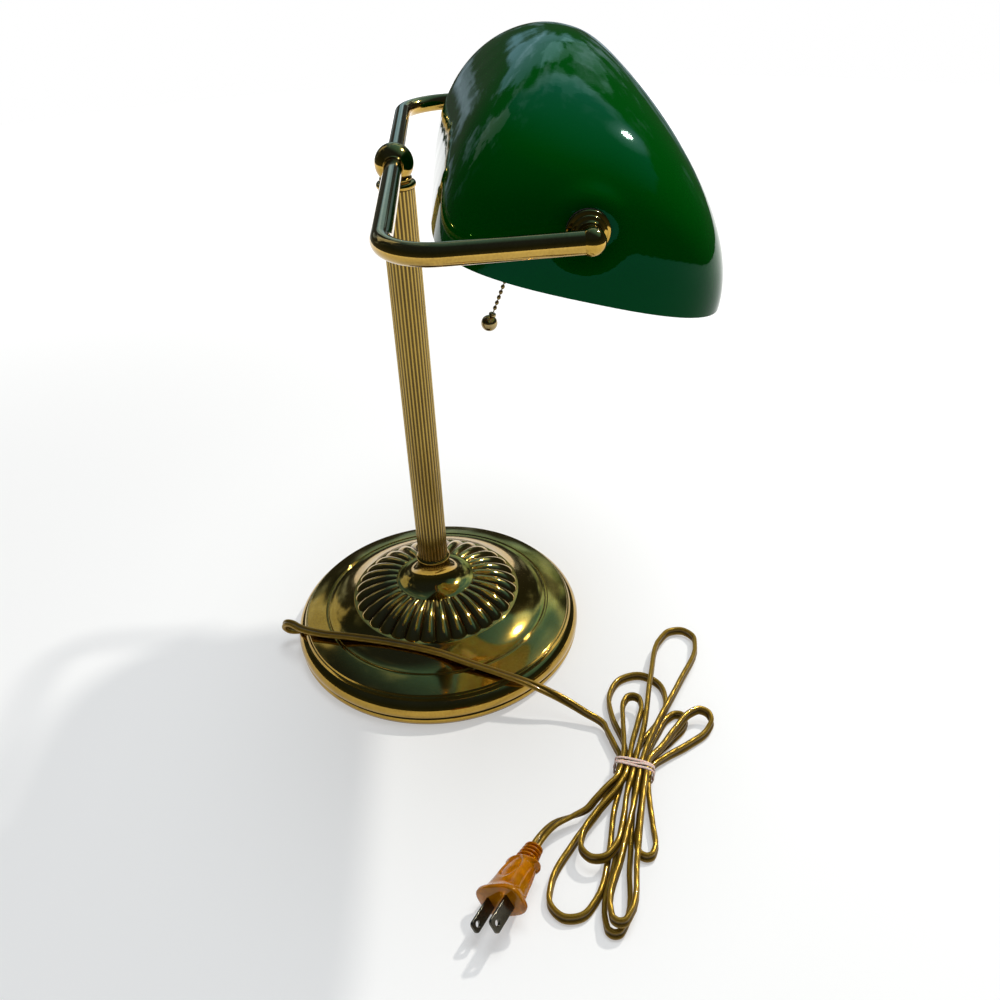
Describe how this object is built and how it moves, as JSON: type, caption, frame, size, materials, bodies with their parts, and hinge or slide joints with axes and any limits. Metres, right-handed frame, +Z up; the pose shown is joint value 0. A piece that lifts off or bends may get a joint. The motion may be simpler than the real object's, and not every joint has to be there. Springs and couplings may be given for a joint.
{
  "type": "bankers lamp",
  "caption": "Brass desk lamp with a gadrooned round base, a reeded column, a bent yoke, a tilting green cased-glass shade, a pull chain and a tied flat cord.",
  "frame": {"origin": "centre of the base's underside, on the surface the lamp stands on", "axes": "+Z up, X along the shade and the yoke's bar, -Y towards the front where the user sits"},
  "size_m": [0.387, 0.2727, 0.3672],
  "materials": {
    "brass": "polished, lacquered",
    "brass_cast": "cast, polished on the high spots",
    "iron": "as cast",
    "felt": "pressed felt",
    "steel": "zinc plated",
    "nickel": "nickel plated",
    "cord": "translucent brown, copper showing through",
    "plug": "translucent amber",
    "tie": "matt",
    "black_plastic": "matt",
    "fibre": "pressed fibre",
    "phenolic": "moulded",
    "bulb": "frosted",
    "green_glass": "deep green outside, opal white inside",
    "grommet": "matt"
  },
  "bodies": {
    "stand": {"base_cover": "brass", "petal_ring": "brass_cast", "base_weight": "iron", "felt_pad": "felt", "column_foot": "brass", "column_tube": "brass", "threaded_rod": "steel", "base_nut": "steel", "base_washer": "steel", "column_cap": "brass", "yoke_ball": "brass", "yoke_set_screw": "steel", "column_leads": "cord", "cord_bushing": "black_plastic", "power_cord": "cord", "cord_hank": "cord", "cord_tail": "cord", "hank_tie": "tie", "plug_body": "plug", "plug_blades": "nickel"},
    "yoke": {"yoke_tube": "brass", "yoke_end_balls": "brass", "pivot_nipples": "steel", "pivot_rosettes": "brass", "inner_washers": "brass", "lock_nuts": "steel", "socket_stem": "brass", "socket_cap": "brass", "socket_shell": "brass", "socket_liner": "fibre", "socket_body": "phenolic", "screw_shell": "brass", "centre_contact": "brass", "chain_bell": "brass", "bulb_glass": "bulb", "bulb_base": "nickel"},
    "shade": {"glass_shade": "green_glass", "pivot_grommets": "grommet"},
    "pull_switch": {"switch_chain": "brass"},
    "chain": {"pull_chain": "brass", "chain_pendant": "brass"}
  },
  "joints": [
    {"name": "yoke_tilt", "type": "hinge", "parent": "stand", "child": "yoke", "pos_m": [0, 0, 0.3078], "axis": [1, 0, 0], "range_deg": [-12, 10]},
    {"name": "shade_tilt", "type": "hinge", "parent": "yoke", "child": "shade", "pos_m": [0, -0.08197, 0.30995], "axis": [1, 0, 0], "range_deg": [-20, 20]},
    {"name": "chain_pull", "type": "slide", "parent": "yoke", "child": "pull_switch", "axis": [0, 0.3746, -0.9272], "range_m": [0, 0.01], "stiffness_N_per_m": 300, "springref_m": -0.004},
    {"name": "chain_swing", "type": "hinge", "parent": "pull_switch", "child": "chain", "pos_m": [0.005, -0.06998, 0.28028], "axis": [1, 0, 0], "range_deg": [-32, 8]}
  ]
}
